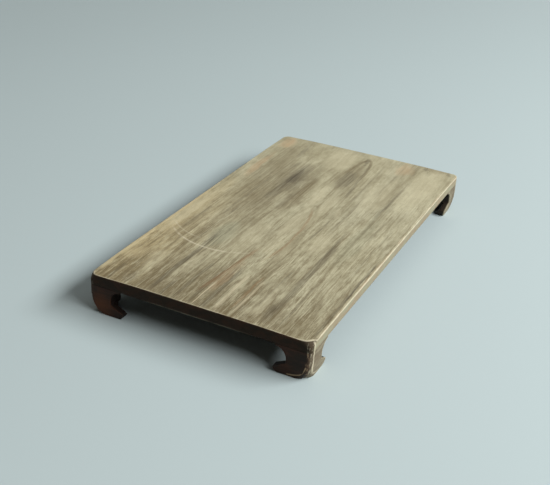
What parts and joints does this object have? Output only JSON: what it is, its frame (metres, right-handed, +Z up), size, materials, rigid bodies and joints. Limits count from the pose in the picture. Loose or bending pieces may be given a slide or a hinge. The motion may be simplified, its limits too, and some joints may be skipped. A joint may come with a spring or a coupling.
{
  "type": "display stand",
  "caption": "Low rectangular wooden display stand: a plank top with worn edges on hooked corner bracket feet, for raising a vase, bowl or ornament.",
  "frame": {"origin": "on the floor under the middle of the plank", "axes": "+X along the plank, +Y across it towards the back, +Z up"},
  "size_m": [0.55, 0.3, 0.055],
  "materials": {
    "top_wood": "worn bare, weathered grey-tan",
    "foot_wood": "old dark stain, worn pale on the arrises",
    "inner_wood": "unfinished, aged",
    "peg_wood": "cut bamboo"
  },
  "bodies": {
    "root": {"top_board": "top_wood", "front_left_side_bracket": "foot_wood", "front_left_end_bracket": "foot_wood", "front_right_side_bracket": "foot_wood", "front_right_end_bracket": "foot_wood", "back_right_side_bracket": "foot_wood", "back_right_end_bracket": "foot_wood", "back_left_side_bracket": "foot_wood", "back_left_end_bracket": "foot_wood", "front_left_corner_block": "inner_wood", "front_right_corner_block": "inner_wood", "back_right_corner_block": "inner_wood", "back_left_corner_block": "inner_wood", "left_batten": "inner_wood", "right_batten": "inner_wood", "foot_pegs": "peg_wood", "batten_pegs": "peg_wood"}
  },
  "joints": []
}
